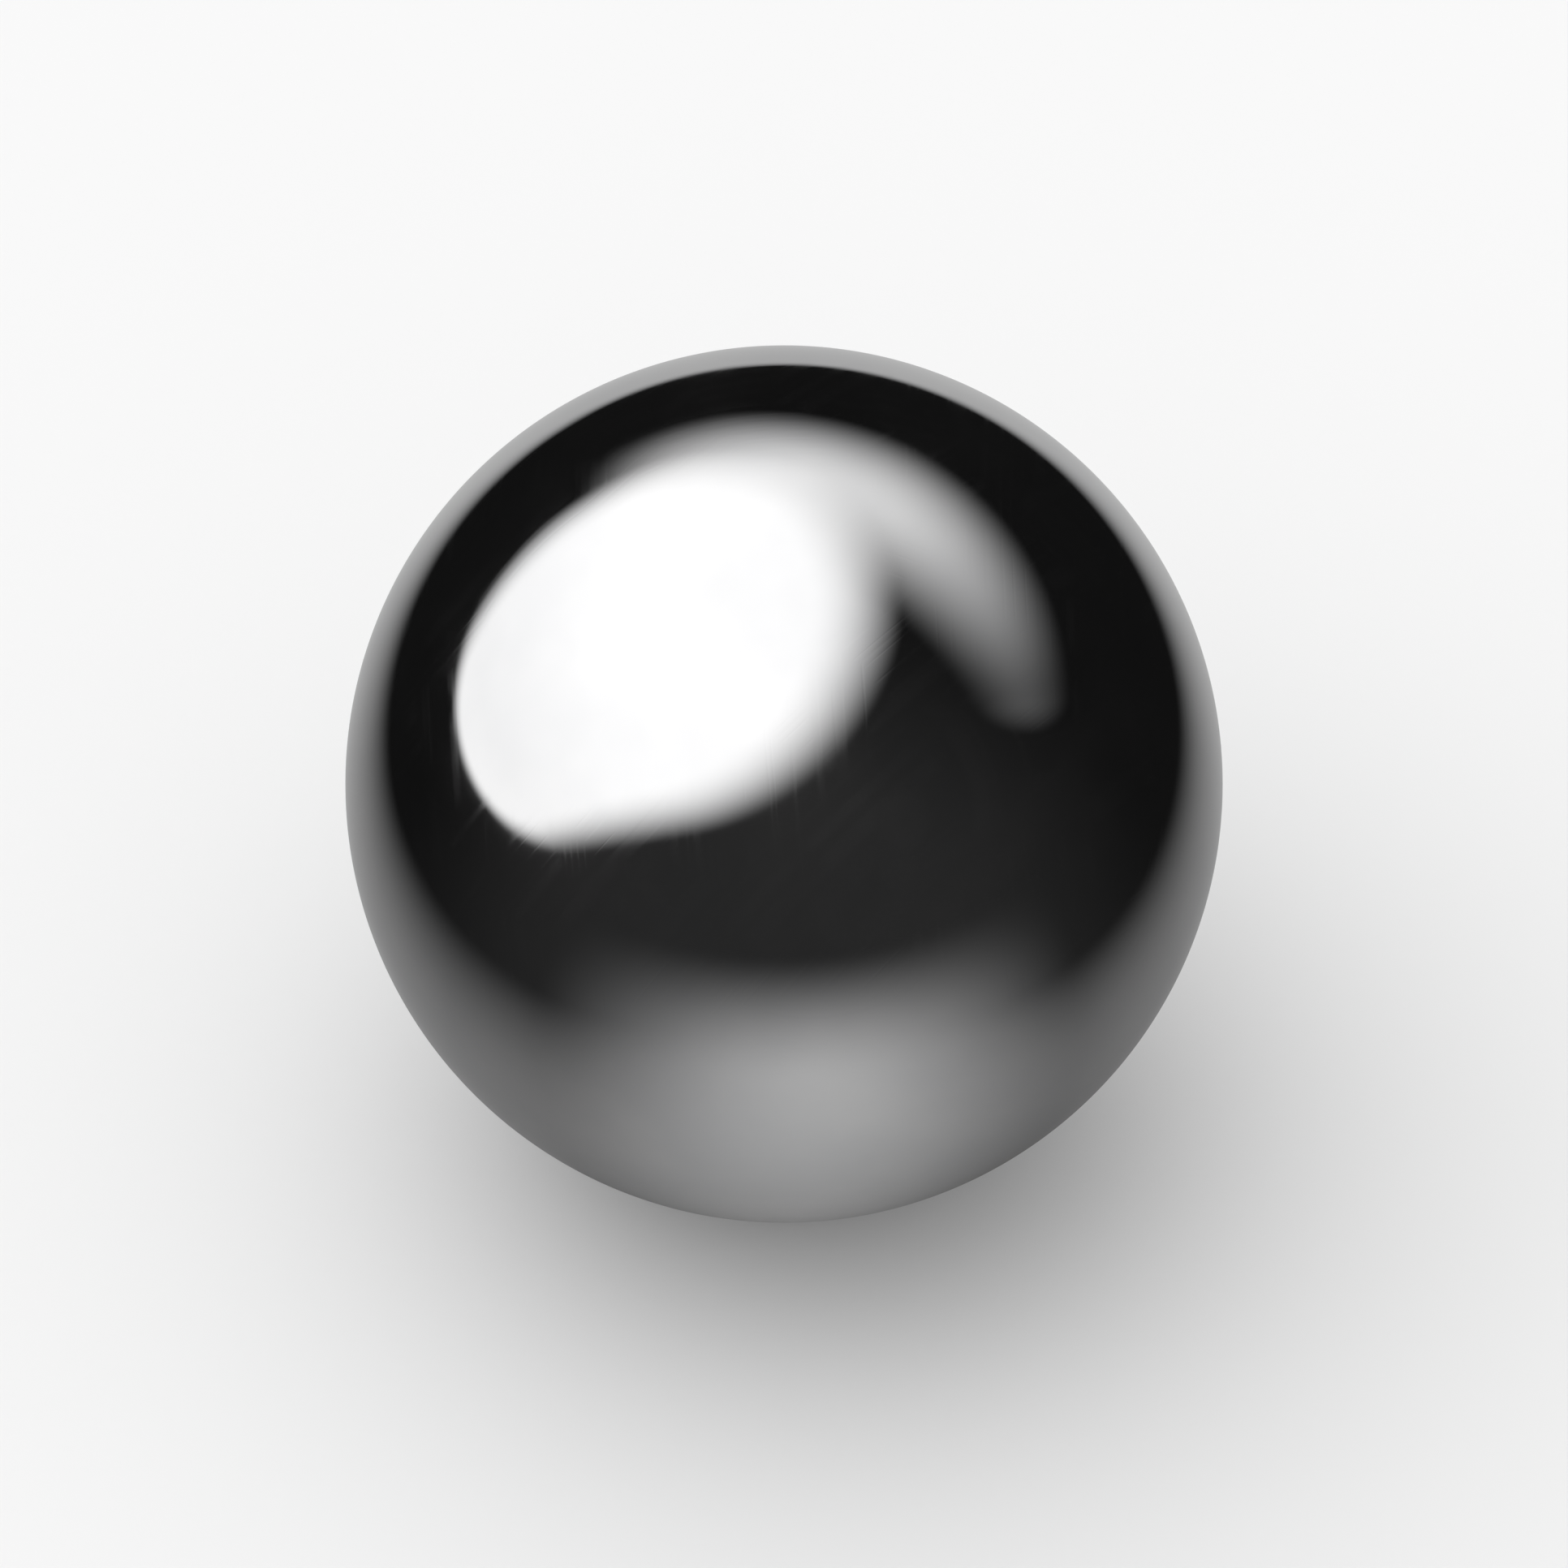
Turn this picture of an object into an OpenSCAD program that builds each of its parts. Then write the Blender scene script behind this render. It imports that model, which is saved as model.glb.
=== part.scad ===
// Steel ball: one solid, ground and lapped to a true sphere.
// The origin is the ball's centre and +Z points up. Lengths are in millimetres.

/* [Ball] */
// Diameter of the ball
ball_d = 4; // [1:0.5:12]

/* [Hidden] */
$fn = 128;

// The ball has no flat, seam, hole or stem, so its whole surface is the sphere
module ball() {
    color("silver")
        sphere(d = ball_d);
}

ball();
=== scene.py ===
"""Polished steel ball: the finish of the ball and the small studio that it is shown in.

Lengths are in metres. The ball's centre is the origin, +Z points up and the camera looks along +Y.
"""

import logging
import math
from dataclasses import dataclass
from enum import Enum
from typing import Any, Callable, Union

import bpy
from mathutils import Matrix, Vector


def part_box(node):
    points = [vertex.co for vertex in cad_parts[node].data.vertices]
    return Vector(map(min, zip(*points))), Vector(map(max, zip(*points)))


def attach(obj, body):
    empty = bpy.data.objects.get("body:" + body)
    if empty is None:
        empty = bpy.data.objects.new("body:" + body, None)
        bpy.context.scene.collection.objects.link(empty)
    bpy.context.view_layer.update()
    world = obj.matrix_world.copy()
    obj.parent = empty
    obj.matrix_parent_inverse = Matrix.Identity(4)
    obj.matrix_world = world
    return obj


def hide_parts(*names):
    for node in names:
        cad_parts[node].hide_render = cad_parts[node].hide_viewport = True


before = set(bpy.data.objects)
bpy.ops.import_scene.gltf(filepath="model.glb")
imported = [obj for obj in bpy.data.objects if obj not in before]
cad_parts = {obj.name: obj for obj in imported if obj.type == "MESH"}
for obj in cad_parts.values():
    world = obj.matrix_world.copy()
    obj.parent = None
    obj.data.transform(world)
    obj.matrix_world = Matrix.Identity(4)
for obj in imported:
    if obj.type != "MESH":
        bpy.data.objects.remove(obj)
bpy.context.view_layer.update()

log = logging.getLogger("steel_ball")

BALL_NODE = "ball"
BALL_BODY = "root"
MM_PER_METRE = 1000.0
MICRON = 1e-6
NOISE_MIDDLE = 0.5
FULL_SIZE = Vector((1.0, 1.0, 1.0))
NO_SHIFT = Vector((0.0, 0.0, 0.0))

Socket = bpy.types.NodeSocket
Value = Union[float, Socket]
Colour = tuple[float, float, float]


class SeenBy(Enum):
    """Which rays meet a piece of the studio."""

    EVERYTHING = "everything"
    MIRRORED = "mirrored"


def grey(level: float) -> tuple[float, float, float, float]:
    """Returns a neutral colour of one linear level."""
    return (level, level, level, 1.0)


def heading(azimuth: float, elevation: float) -> Vector:
    """Points a unit vector.

    Args:
        azimuth: degrees from straight behind the ball towards the right.
        elevation: degrees above the horizon.

    Returns:
        The unit vector.
    """
    turn = math.radians(azimuth)
    rise = math.radians(elevation)
    level = math.cos(rise)
    return Vector((math.sin(turn) * level, math.cos(turn) * level, math.sin(rise)))


class Bench:
    """The bpy.ops calls that every modelled piece starts and ends with."""

    @staticmethod
    def clear_selection() -> None:
        """Leaves edit mode and deselects everything, so that operators act on one piece alone."""
        if bpy.context.object and bpy.context.object.mode != "OBJECT":
            bpy.ops.object.mode_set(mode="OBJECT")
        bpy.ops.object.select_all(action="DESELECT")

    @staticmethod
    def take(piece: bpy.types.Object) -> None:
        """Selects one piece and makes it active.

        Args:
            piece: the object to work on.
        """
        Bench.clear_selection()
        piece.select_set(True)
        bpy.context.view_layer.objects.active = piece

    @staticmethod
    def settle(piece: bpy.types.Object) -> None:
        """Puts a piece's place, turn and scale into its mesh."""
        Bench.take(piece)
        bpy.ops.object.transform_apply(location=True, rotation=True, scale=True)

    @staticmethod
    def apply_modifier(piece: bpy.types.Object, kind: str, **settings: Any) -> None:
        """Adds a modifier to a piece and applies it at once.

        Args:
            piece: the object to change.
            kind: Blender's name of the modifier type.
            settings: the modifier's own settings.
        """
        Bench.take(piece)
        modifier = piece.modifiers.new(kind.lower(), kind)
        for name, value in settings.items():
            setattr(modifier, name, value)
        bpy.ops.object.modifier_apply(modifier=modifier.name)


class NodeBoard:
    """Adds nodes to one shader tree and links them."""

    def __init__(self, tree: bpy.types.NodeTree) -> None:
        """Takes the tree of a material or a world and empties it."""
        self.tree = tree
        tree.nodes.clear()

    def add(self, kind: str, **settings: Any) -> bpy.types.Node:
        """Adds a node.

        Args:
            kind: Blender's type name of the node.
            settings: properties of the node itself, not of its sockets.

        Returns:
            The new node.
        """
        node = self.tree.nodes.new(kind)
        for name, value in settings.items():
            setattr(node, name, value)
        return node

    def feed(self, target: Socket, value: Any) -> None:
        """Links a socket to an input, or sets a plain value on it.

        Args:
            target: the input to feed.
            value: an output socket or a value that the input can hold.
        """
        if isinstance(value, bpy.types.NodeSocket):
            self.tree.links.new(value, target)
        else:
            target.default_value = value

    def finish(self, shader: Socket, output: str = "ShaderNodeOutputMaterial") -> None:
        """Links a shader to the tree's output, a node of the type that is named."""
        self.feed(self.add(output).inputs["Surface"], shader)

    def calculate(self, operation: str, *values: Value) -> Socket:
        """Adds a Math node.

        Args:
            operation: Blender's name of the operation.
            values: its inputs, in order.

        Returns:
            The node's output.
        """
        node = self.add("ShaderNodeMath", operation=operation)
        for target, value in zip(node.inputs, values):
            self.feed(target, value)
        return node.outputs["Value"]

    def measure(self, operation: str, *values: Any) -> bpy.types.Node:
        """Adds a Vector Math node.

        Args:
            operation: Blender's name of the operation.
            values: its inputs, in order.

        Returns:
            The node.
        """
        node = self.add("ShaderNodeVectorMath", operation=operation)
        for target, value in zip(node.inputs, values):
            self.feed(target, value)
        return node

    def ease(self, value: Value, start: Value, end: Value, before: Value, after: Value) -> Socket:
        """Turns a value into a smooth step.

        Args:
            value: what is read.
            start: where the step begins.
            end: where the step ends.
            before: the result up to the start.
            after: the result from the end on.

        Returns:
            The stepped value.
        """
        node = self.add("ShaderNodeMapRange", interpolation_type="SMOOTHSTEP")
        names = ("Value", "From Min", "From Max", "To Min", "To Max")
        for name, number in zip(names, (value, start, end, before, after)):
            self.feed(node.inputs[name], number)
        return node.outputs["Result"]

    def noise(self, where: Socket, scale: float, detail: float) -> Socket:
        """Adds a Noise Texture in three dimensions.

        Args:
            where: the point that is read.
            scale: waves for each unit of that point.
            detail: how many finer layers are added.

        Returns:
            The noise, from 0 to 1.
        """
        node = self.add("ShaderNodeTexNoise", noise_dimensions="3D")
        self.feed(node.inputs["Vector"], where)
        node.inputs["Scale"].default_value = scale
        node.inputs["Detail"].default_value = detail
        return node.outputs["Fac"]

    def place(self, scale: Vector = FULL_SIZE, shift: Vector = NO_SHIFT) -> Socket:
        """Reads the piece's own coordinates.

        Args:
            scale: what they are multiplied by.
            shift: what is added to them afterwards.

        Returns:
            The scaled and shifted point.
        """
        mapping = self.add("ShaderNodeMapping")
        self.feed(mapping.inputs["Vector"], self.add("ShaderNodeTexCoord").outputs["Object"])
        mapping.inputs["Scale"].default_value = scale
        mapping.inputs["Location"].default_value = shift
        return mapping.outputs["Vector"]

    def parts(self, where: Socket) -> tuple[Socket, Socket, Socket]:
        """Takes a point apart.

        Args:
            where: the point.

        Returns:
            Its X, Y and Z.
        """
        node = self.add("ShaderNodeSeparateXYZ")
        self.feed(node.inputs["Vector"], where)
        return node.outputs["X"], node.outputs["Y"], node.outputs["Z"]

    def beside_line(self, where: Socket, start: Vector, end: Vector) -> tuple[Socket, Socket]:
        """Measures a point against a straight line between two points.

        Args:
            where: the point that is read.
            start: one end of the line.
            end: the other end of the line.

        Returns:
            The distance from the line, which draws a long oval, and the share of the way along it,
            which is below 0 before the start and above 1 past the end.
        """
        line = end - start
        from_start = self.measure("SUBTRACT", where, start).outputs["Vector"]
        along = self.measure("DOT_PRODUCT", from_start, line / line.length_squared).outputs["Value"]
        clamp = self.add("ShaderNodeClamp")
        self.feed(clamp.inputs["Value"], along)
        foot = self.measure("SCALE", line)
        self.feed(foot.inputs["Scale"], clamp.outputs["Result"])
        gap = self.measure("DISTANCE", from_start, foot.outputs["Vector"]).outputs["Value"]
        return gap, along


@dataclass(frozen=True)
class LappedSteel:
    """Bare steel, lapped to a mirror: long waves, a faint cloudy haze and hair-fine lapping lines.

    A band is the pair of noise levels between which something comes up or goes. The bands of the
    line patches are those of the first set of lines, and each further set has them a step higher.
    """

    pale_tint: Colour = (0.660, 0.658, 0.660)
    deep_tint: Colour = (0.605, 0.606, 0.612)
    tint_band: tuple[float, float] = (0.30, 0.70)
    haze_band: tuple[float, float] = (0.42, 0.70)
    mirror_roughness: float = 0.035
    haze_roughness: float = 0.075
    clouds_per_mm: float = 1.1
    cloud_detail: float = 3.0
    wave_height: float = 0.9 * MICRON
    waves_per_mm: float = 1.6
    wave_detail: float = 0.0
    line_directions: int = 4
    line_depth: float = 0.02 * MICRON
    line_roughness: float = 0.03
    line_half_width: float = 0.045
    lines_per_mm: float = 9.0
    line_detail: float = 1.0
    line_shift: float = 7.3
    patches_per_mm: float = 1.7
    patch_detail: float = 2.0
    patch_comes: tuple[float, float] = (0.30, 0.36)
    patch_goes: tuple[float, float] = (0.42, 0.48)
    patch_step: float = 0.125

    def directions(self) -> list[Vector]:
        """Spreads the lapping directions evenly over half a sphere.

        Returns:
            One unit vector for each set of lines.
        """
        golden_turn = math.pi * (3.0 - math.sqrt(5.0))
        spread = []
        for index in range(self.line_directions):
            height = (index + 0.5) / self.line_directions
            reach = math.sqrt(1.0 - height * height)
            turn = index * golden_turn
            spread.append(Vector((reach * math.cos(turn), reach * math.sin(turn), height)))
        return spread

    def line_set(self, board: NodeBoard, where: Socket, patches: Socket, index: int) -> Socket:
        """Draws one set of fine arcs, broken into short patches.

        Args:
            board: the material's nodes.
            where: the point on the ball, in millimetres.
            patches: noise that says where the set shows.
            index: the number of the set.

        Returns:
            1 on a line and 0 beside it.
        """
        direction = self.directions()[index]
        height = board.measure("DOT_PRODUCT", where, direction).outputs["Value"]
        row = board.add("ShaderNodeTexNoise", noise_dimensions="1D")
        board.feed(row.inputs["W"], board.calculate("ADD", height, self.line_shift * index))
        row.inputs["Scale"].default_value = self.lines_per_mm
        row.inputs["Detail"].default_value = self.line_detail
        off_middle = board.calculate("SUBTRACT", row.outputs["Fac"], NOISE_MIDDLE)
        off_line = board.calculate("ABSOLUTE", off_middle)
        line = board.ease(off_line, 0.0, self.line_half_width, 1.0, 0.0)
        higher = self.patch_step * index
        comes = board.ease(patches, *(level + higher for level in self.patch_comes), 0.0, 1.0)
        goes = board.ease(patches, *(level + higher for level in self.patch_goes), 1.0, 0.0)
        return board.calculate("MULTIPLY", line, board.calculate("MULTIPLY", comes, goes))

    def lapping_lines(self, board: NodeBoard, where: Socket) -> Socket:
        """Lays all the sets of lapping lines over each other.

        Args:
            board: the material's nodes.
            where: the point on the ball, in millimetres.

        Returns:
            1 on a line of any set and 0 elsewhere.
        """
        patches = board.noise(where, self.patches_per_mm, self.patch_detail)
        lines: Value = 0.0
        for index in range(self.line_directions):
            lines = board.calculate("MAXIMUM", lines, self.line_set(board, where, patches, index))
        return lines

    def material(self) -> bpy.types.Material:
        """Makes the steel's material.

        Returns:
            A material whose patterns are laid in millimetres on the ball itself.
        """
        steel = bpy.data.materials.new("lapped_steel")
        steel.use_nodes = True
        board = NodeBoard(steel.node_tree)
        where = board.place(FULL_SIZE * MM_PER_METRE)
        clouds = board.noise(where, self.clouds_per_mm, self.cloud_detail)
        lines = self.lapping_lines(board, where)
        metal = board.add("ShaderNodeBsdfPrincipled")
        metal.inputs["Metallic"].default_value = 1.0
        tint = board.add("ShaderNodeValToRGB")
        board.feed(tint.inputs["Fac"], board.ease(clouds, *self.tint_band, 0.0, 1.0))
        tint.color_ramp.elements[0].color = (*self.deep_tint, 1.0)
        tint.color_ramp.elements[1].color = (*self.pale_tint, 1.0)
        board.feed(metal.inputs["Base Color"], tint.outputs["Color"])
        haze = board.ease(clouds, *self.haze_band, self.mirror_roughness, self.haze_roughness)
        scuffs = board.calculate("MULTIPLY", lines, self.line_roughness)
        board.feed(metal.inputs["Roughness"], board.calculate("ADD", haze, scuffs))
        swell = board.noise(where, self.waves_per_mm, self.wave_detail)
        waves = board.calculate("MULTIPLY", swell, self.wave_height)
        grooves = board.calculate("MULTIPLY", lines, self.line_depth)
        relief = board.add("ShaderNodeBump")
        relief.inputs["Distance"].default_value = 1.0
        board.feed(relief.inputs["Height"], board.calculate("SUBTRACT", waves, grooves))
        board.feed(metal.inputs["Normal"], relief.outputs["Normal"])
        board.finish(metal.outputs["BSDF"])
        return steel


@dataclass
class SteelBall:
    """The ball itself: a blank that is ground round, refined and lapped to size.

    The blank's side is a share of the radius. Its cuts and refinements give a grid fine enough
    that the ball's outline shows no corners.
    """

    centre: Vector
    radius: float
    finish: LappedSteel
    blank_cuts: int = 23
    refinements: int = 2
    blank_share: float = 1.1

    @classmethod
    def from_frame(cls, finish: LappedSteel) -> "SteelBall":
        """Takes the ball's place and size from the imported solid, before anything is built."""
        low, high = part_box(BALL_NODE)
        return cls(centre=(low + high) / 2, radius=max(high - low) / 2, finish=finish)

    def cut_blank(self) -> bpy.types.Object:
        """Cuts a cube blank whose six sides carry an even grid.

        Returns:
            The blank.
        """
        Bench.clear_selection()
        bpy.ops.mesh.primitive_cube_add(size=self.blank_share * self.radius, location=self.centre)
        blank = bpy.context.object
        blank.name = "polished_ball"
        bpy.ops.object.mode_set(mode="EDIT")
        bpy.ops.mesh.select_all(action="SELECT")
        bpy.ops.mesh.subdivide(number_cuts=self.blank_cuts)
        bpy.ops.object.mode_set(mode="OBJECT")
        return blank

    def grind_round(self, blank: bpy.types.Object) -> None:
        """Pushes every point of the blank out to a rough sphere and refines its grid.

        Args:
            blank: the cube blank.
        """
        Bench.take(blank)
        bpy.ops.object.mode_set(mode="EDIT")
        bpy.ops.mesh.select_all(action="SELECT")
        bpy.ops.transform.tosphere(value=1.0)
        bpy.ops.object.mode_set(mode="OBJECT")
        steps = self.refinements
        Bench.apply_modifier(blank, "SUBSURF", levels=steps, render_levels=steps)

    def lap_to_size(self, ball: bpy.types.Object) -> None:
        """Brings every point to the ball's radius exactly and lets the faces shade as one surface.

        Args:
            ball: the ground ball, whose object still sits at its centre.
        """
        Bench.apply_modifier(
            ball, "CAST", cast_type="SPHERE", factor=1.0, use_radius_as_size=False, size=self.radius
        )
        Bench.settle(ball)
        bpy.ops.object.shade_smooth()

    def build(self) -> bpy.types.Object:
        """Makes the ball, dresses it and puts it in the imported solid's place.

        Returns:
            The finished ball.
        """
        ball = self.cut_blank()
        self.grind_round(ball)
        self.lap_to_size(ball)
        ball.data.materials.append(self.finish.material())
        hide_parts(BALL_NODE)
        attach(ball, BALL_BODY)
        return ball


@dataclass
class StudioSheet:
    """A flat sheet of the studio: the floor, the dark mat or a light's cloth."""

    name: str
    size_x: float
    size_y: float
    stand: Matrix
    seen_by: SeenBy

    def build(self, dress: Callable[[NodeBoard], Socket]) -> bpy.types.Object:
        """Cuts the sheet, puts it in its place and gives it its material.

        Args:
            dress: a function that is given the material's nodes and returns the shader.

        Returns:
            The sheet, with its place in its mesh.
        """
        Bench.clear_selection()
        bpy.ops.mesh.primitive_plane_add(size=1.0)
        sheet = bpy.context.object
        sheet.name = self.name
        bpy.ops.object.mode_set(mode="EDIT")
        bpy.ops.mesh.select_all(action="SELECT")
        bpy.ops.transform.resize(value=(self.size_x, self.size_y, 1.0))
        bpy.ops.object.mode_set(mode="OBJECT")
        sheet.matrix_world = self.stand
        Bench.settle(sheet)
        material = bpy.data.materials.new(f"{self.name}_cloth")
        material.use_nodes = True
        board = NodeBoard(material.node_tree)
        board.finish(dress(board))
        sheet.data.materials.append(material)
        if self.seen_by is SeenBy.MIRRORED:
            sheet.visible_camera = False
            sheet.visible_shadow = False
            sheet.visible_diffuse = False
        return sheet


def glow(board: NodeBoard, strength: Value, shown: Value) -> Socket:
    """Makes a shader that gives light where it shows and lets everything through where it doesn't.

    Args:
        board: the material's nodes.
        strength: how bright it is.
        shown: 1 where it shows and 0 where it is clear.

    Returns:
        The shader.
    """
    emission = board.add("ShaderNodeEmission")
    board.feed(emission.inputs["Strength"], strength)
    choice = board.add("ShaderNodeMixShader")
    board.feed(choice.inputs["Fac"], shown)
    board.feed(choice.inputs[1], board.add("ShaderNodeBsdfTransparent").outputs["BSDF"])
    board.feed(choice.inputs[2], emission.outputs["Emission"])
    return choice.outputs["Shader"]


@dataclass
class Floor:
    """The pale floor that the ball stands on.

    Its colour greys a little between two stretches from the ball, which are in ball radii: painted
    light falloff, as if a pool of light lay round the ball.
    """

    radius: float
    reach: float
    near_tone: float = 0.84
    # painted shade: the greyer colour far from the ball stands in for light that fades away
    painted_falloff_tone: float = 0.60
    near_stretch: float = 8.0
    far_stretch: float = 55.0

    def build(self) -> bpy.types.Object:
        """Lays the floor under the ball.

        Returns:
            The floor.
        """
        stand = Matrix.Translation((0.0, 0.0, -self.radius))
        sheet = StudioSheet("floor", 2 * self.reach, 2 * self.reach, stand, SeenBy.EVERYTHING)
        return sheet.build(self.dress)

    def dress(self, board: NodeBoard) -> Socket:
        """Makes the floor's matt surface, with the painted light falloff in its colour.

        Args:
            board: the material's nodes.

        Returns:
            The shader.
        """
        matt = board.add("ShaderNodeBsdfDiffuse")
        far = board.measure("LENGTH", board.place()).outputs["Value"]
        start = self.near_stretch * self.radius
        end = self.far_stretch * self.radius
        # painted light falloff: the colour greys away from the ball instead of the light fading
        board.feed(matt.inputs["Color"], board.ease(far, start, end, self.near_tone, self.painted_falloff_tone))
        return matt.outputs["BSDF"]


@dataclass(frozen=True)
class DarkSurroundings:
    """The dark grey all round that only the ball mirrors, palest towards the camera."""

    front_tone: float = 0.030
    back_tone: float = 0.008
    pale_before: float = -0.95
    dark_behind: float = 0.20

    def tone(self, board: NodeBoard, back: Socket) -> Socket:
        """Returns the tone in a direction whose share to the back, from -1 to 1, is given."""
        return board.ease(back, self.pale_before, self.dark_behind, self.front_tone, self.back_tone)


@dataclass
class OverheadLight:
    """The long soft light overhead, which the ball mirrors as its white highlight.

    Its lengths are shares of its height over the ball. Its ends are half circles, and it runs down
    to the left until just above the floor.
    """

    height: float
    tilt: float = math.radians(16.5)
    power: float = 1.56
    half_width: float = 1.15
    set_back: float = 0.03
    right_end: float = 0.71
    left_end: float = -3.1
    softness: float = 0.27
    far_share: float = 0.90

    def place(self, along: float) -> Vector:
        """Finds a point on the light's middle line.

        Args:
            along: how far it lies to the right of the ball.

        Returns:
            The point.
        """
        lift = Vector((-math.sin(self.tilt), self.set_back, math.cos(self.tilt)))
        lengthwise = Vector((math.cos(self.tilt), 0.0, math.sin(self.tilt)))
        return (lift + lengthwise * along) * self.height

    def build(self) -> bpy.types.Object:
        """Hangs the light.

        Returns:
            The light.
        """
        spare = 2 * self.softness * self.half_width
        stand = Matrix.Translation(self.place((self.right_end + self.left_end) / 2))
        stand = stand @ Matrix.Rotation(-self.tilt, 4, "Y")
        length = (self.right_end - self.left_end + spare) * self.height
        width = (2 * self.half_width + spare) * self.height
        sheet = StudioSheet("overhead_light", length, width, stand, SeenBy.MIRRORED)
        return sheet.build(self.dress)

    def dress(self, board: NodeBoard) -> Socket:
        """Makes the light's cloth, soft at its edge and fading towards the left.

        Args:
            board: the material's nodes.

        Returns:
            The shader.
        """
        right = self.place(self.right_end - self.half_width)
        left = self.place(self.left_end + self.half_width)
        edge = self.half_width * self.height
        gap, along = board.beside_line(board.place(), right, left)
        strength = board.ease(along, 0.0, 1.0, self.power, self.power * self.far_share)
        shown = board.ease(gap, (1 - self.softness) * edge, (1 + self.softness) * edge, 1.0, 0.0)
        return glow(board, strength, shown)


@dataclass
class SideLight:
    """A soft strip behind the ball and to its right, which the ball mirrors as a grey streak.

    It stands further off than the overhead light, which covers part of it. Its ends are headings,
    in degrees. It comes up between two shares of the way along it, and then fades to the right.
    """

    distance: float
    left_end: tuple[float, float] = (-35.0, 26.0)
    right_end: tuple[float, float] = (91.5, 28.0)
    half_angle: float = math.radians(26.0)
    left_power: float = 2.0
    right_power: float = 0.12
    comes_up_from: float = -0.10
    comes_up_to: float = 0.60

    def build(self) -> bpy.types.Object:
        """Stands the strip up, facing the ball.

        Returns:
            The strip.
        """
        left, right = self.ends()
        facing = (left + right).normalized()
        lengthwise = (right - left).normalized()
        turn = Matrix((lengthwise, facing.cross(lengthwise), facing)).transposed().to_4x4()
        stand = Matrix.Translation((left + right) / 2) @ turn
        width = 2 * self.half_width()
        length = (right - left).length + width
        sheet = StudioSheet("side_light", length, width, stand, SeenBy.MIRRORED)
        return sheet.build(self.dress)

    def ends(self) -> tuple[Vector, Vector]:
        """Finds the ends of the strip's middle line.

        Returns:
            The left end and the right end.
        """
        left = heading(*self.left_end)
        right = heading(*self.right_end)
        reach = self.distance / left.dot((left + right).normalized())
        return left * reach, right * reach

    def half_width(self) -> float:
        """Returns half the strip's width."""
        return math.tan(self.half_angle) * self.distance

    def dress(self, board: NodeBoard) -> Socket:
        """Makes the strip's cloth, soft all over and fading to the right.

        Args:
            board: the material's nodes.

        Returns:
            The shader.
        """
        gap, along = board.beside_line(board.place(), *self.ends())
        strength = board.ease(along, 0.0, 1.0, self.left_power, self.right_power)
        across = board.ease(gap, 0.0, self.half_width(), 1.0, 0.0)
        come_up = board.ease(along, self.comes_up_from, self.comes_up_to, 0.0, 1.0)
        return glow(board, strength, board.calculate("MULTIPLY", across, come_up))


@dataclass
class DarkMat:
    """A dark mat just above the floor, seen only by the ball.

    It lets the floor through in an oval round and behind the ball, which draws a thin pale rim,
    and in a fan towards the camera, which draws the grey patch low on the ball. Its lengths are
    in ball radii.
    """

    radius: float
    reach: float
    surroundings: DarkSurroundings
    clearance: float = 0.01
    oval_middle: float = 5.6
    oval_half_width: float = 3.1
    oval_half_length: float = 6.5
    oval_softness: float = 0.40
    oval_share: float = 0.55
    fan_turn: float = math.radians(6.0)
    fan_spread: float = math.radians(60.0)
    fan_reach: float = 2.4
    fan_share: float = 0.62

    def build(self) -> bpy.types.Object:
        """Lays the mat.

        Returns:
            The mat.
        """
        stand = Matrix.Translation((0.0, 0.0, (self.clearance - 1.0) * self.radius))
        sheet = StudioSheet("dark_mat", 2 * self.reach, 2 * self.reach, stand, SeenBy.MIRRORED)
        return sheet.build(self.dress)

    def oval(self, board: NodeBoard) -> Socket:
        """Cuts the oval opening round and behind the ball.

        Args:
            board: the material's nodes.

        Returns:
            How much of the floor shows.
        """
        half_width = self.oval_half_width * self.radius
        half_length = self.oval_half_length * self.radius
        where = board.place(
            Vector((1 / half_width, 1 / half_length, 0.0)),
            Vector((0.0, -self.oval_middle * self.radius / half_length, 0.0)),
        )
        out = board.measure("LENGTH", where).outputs["Value"]
        return board.ease(out, 1 - self.oval_softness, 1 + self.oval_softness, self.oval_share, 0.0)

    def fan(self, board: NodeBoard, right: Socket, back: Socket, far: Socket) -> Socket:
        """Cuts the fan-shaped opening towards the camera.

        Args:
            board: the material's nodes.
            right: how far the point lies to the right.
            back: how far it lies to the back.
            far: its distance from the ball's centre.

        Returns:
            How much of the floor shows, which is less far away and towards the fan's sides.
        """
        turn = board.calculate("ARCTAN2", right, board.calculate("MULTIPLY", back, -1.0))
        off_middle = board.calculate("ABSOLUTE", board.calculate("SUBTRACT", turn, self.fan_turn))
        inside = board.ease(off_middle, 0.0, self.fan_spread, self.fan_share, 0.0)
        nearness = board.calculate("DIVIDE", self.radius, far)
        close = board.ease(nearness, 0.0, 1 / self.fan_reach, 0.0, 1.0)
        return board.calculate("MULTIPLY", inside, close)

    def dress(self, board: NodeBoard) -> Socket:
        """Makes the mat's cloth, which has the surroundings' tone and is clear at both openings.

        Args:
            board: the material's nodes.

        Returns:
            The shader.
        """
        where = board.place()
        right, back, _ = board.parts(where)
        far = board.measure("LENGTH", where).outputs["Value"]
        tone = self.surroundings.tone(board, board.calculate("DIVIDE", back, far))
        beside_oval = board.calculate("SUBTRACT", 1.0, self.oval(board))
        beside_fan = board.calculate("SUBTRACT", 1.0, self.fan(board, right, back, far))
        return glow(board, tone, board.calculate("MULTIPLY", beside_oval, beside_fan))


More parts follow.
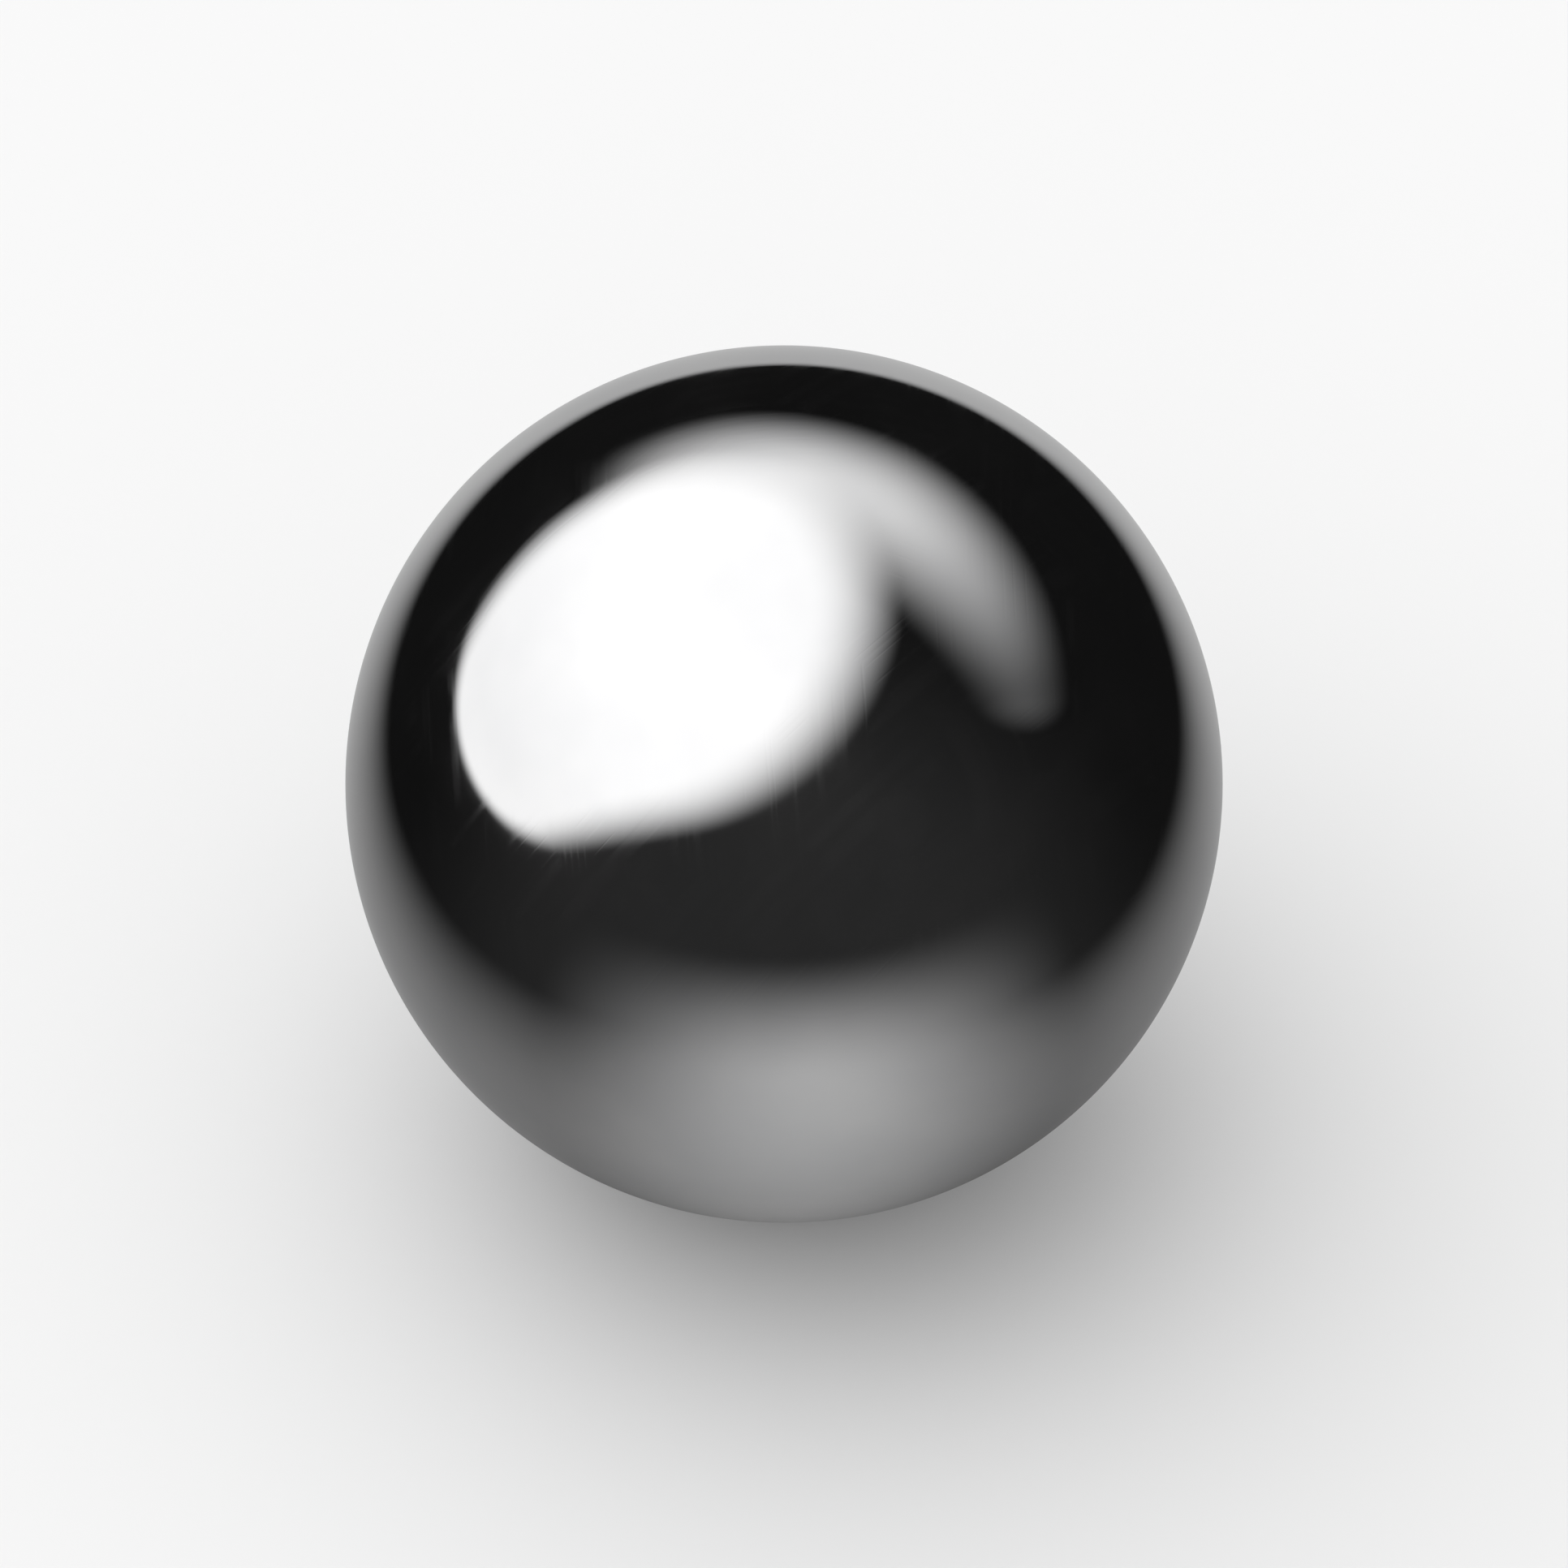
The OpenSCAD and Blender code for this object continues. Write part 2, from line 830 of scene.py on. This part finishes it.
@dataclass
class Room:
    """What lies all round: pale to the camera, a soft light to the floor and dark to the ball.

    The soft light comes from all sides and is strongest from one heading, in degrees.
    """

    surroundings: DarkSurroundings
    backdrop: float = 0.685
    light_heading: tuple[float, float] = (-60.0, 60.0)
    light_edge: float = 0.40
    light: float = 1.59
    fill: float = 0.80

    def build(self) -> bpy.types.World:
        """Sets up the world.

        Returns:
            The world.
        """
        world = bpy.data.worlds.new("studio_room")
        bpy.context.scene.world = world
        world.use_nodes = True
        board = NodeBoard(world.node_tree)
        path = board.add("ShaderNodeLightPath")
        direction = board.add("ShaderNodeTexCoord").outputs["Generated"]
        brightest = heading(*self.light_heading)
        towards_light = board.measure("DOT_PRODUCT", direction, brightest).outputs["Value"]
        falling = board.ease(towards_light, self.light_edge, 1.0, self.fill, self.light)
        _, back, _ = board.parts(direction)
        mirrored = self.surroundings.tone(board, back)
        seen_or_lit = board.ease(path.outputs["Is Camera Ray"], 0.0, 1.0, falling, self.backdrop)
        level = board.ease(path.outputs["Is Glossy Ray"], 0.0, 1.0, seen_or_lit, mirrored)
        sky = board.add("ShaderNodeBackground")
        board.feed(sky.inputs["Strength"], level)
        sky.inputs["Color"].default_value = grey(1.0)
        board.finish(sky.outputs["Background"], "ShaderNodeOutputWorld")
        return world


@dataclass
class Studio:
    """The pale floor, the room, and what only the ball mirrors: the mat and the two lights.

    Its distances and the floor's reach are in ball radii.
    """

    radius: float
    overhead_distance: float = 80.0
    side_distance: float = 160.0
    floor_reach: float = 150.0

    def build(self) -> list[bpy.types.Object]:
        """Sets up the whole studio.

        Returns:
            Its floor, mat and lights.
        """
        surroundings = DarkSurroundings()
        Room(surroundings).build()
        reach = self.floor_reach * self.radius
        return [
            Floor(self.radius, reach).build(),
            DarkMat(self.radius, reach, surroundings).build(),
            OverheadLight(self.overhead_distance * self.radius).build(),
            SideLight(self.side_distance * self.radius).build(),
        ]


@dataclass
class Viewpoint:
    """The camera, looking down at the photograph's angle.

    It sees what lies between two distances, which are in ball radii.
    """

    radius: float
    elevation: float = math.radians(45.0)
    lens_mm: float = 300.0
    sensor_mm: float = 36.0
    ball_share: float = 0.56
    sees_from: float = 0.1
    sees_to: float = 1000.0

    def build(self) -> bpy.types.Object:
        """Places the camera so that the ball takes its share of the picture's width.

        Returns:
            The camera.
        """
        half_angle = math.atan(self.sensor_mm / 2 / self.lens_mm)
        distance = self.radius / math.sin(half_angle * self.ball_share)
        outwards = Vector((0.0, -math.cos(self.elevation), math.sin(self.elevation)))
        Bench.clear_selection()
        bpy.ops.object.camera_add()
        camera = bpy.context.object
        camera.name = "studio_camera"
        camera.data.lens = self.lens_mm
        camera.data.sensor_width = self.sensor_mm
        camera.data.clip_start = self.sees_from * self.radius
        camera.data.clip_end = self.sees_to * self.radius
        camera.location = outwards * distance
        camera.rotation_euler = (math.pi / 2 - self.elevation, 0.0, 0.0)
        bpy.context.scene.camera = camera
        return camera


def main() -> None:
    """Builds the ball, the studio and the camera, and reports each piece."""
    logging.basicConfig(level=logging.INFO, format="%(name)s: %(message)s")
    ball = SteelBall.from_frame(LappedSteel())
    dressed = ball.build()
    faces = len(dressed.data.polygons)
    log.info("%s: %d faces, radius %.2f mm", dressed.name, faces, ball.radius * MM_PER_METRE)
    for piece in Studio(ball.radius).build():
        log.info("%s: part of the studio", piece.name)
    camera = Viewpoint(ball.radius).build()
    log.info("%s: %.1f mm from the ball", camera.name, camera.location.length * MM_PER_METRE)
    bpy.context.scene.view_settings.view_transform = "Standard"


if __name__ == "__main__":
    main()
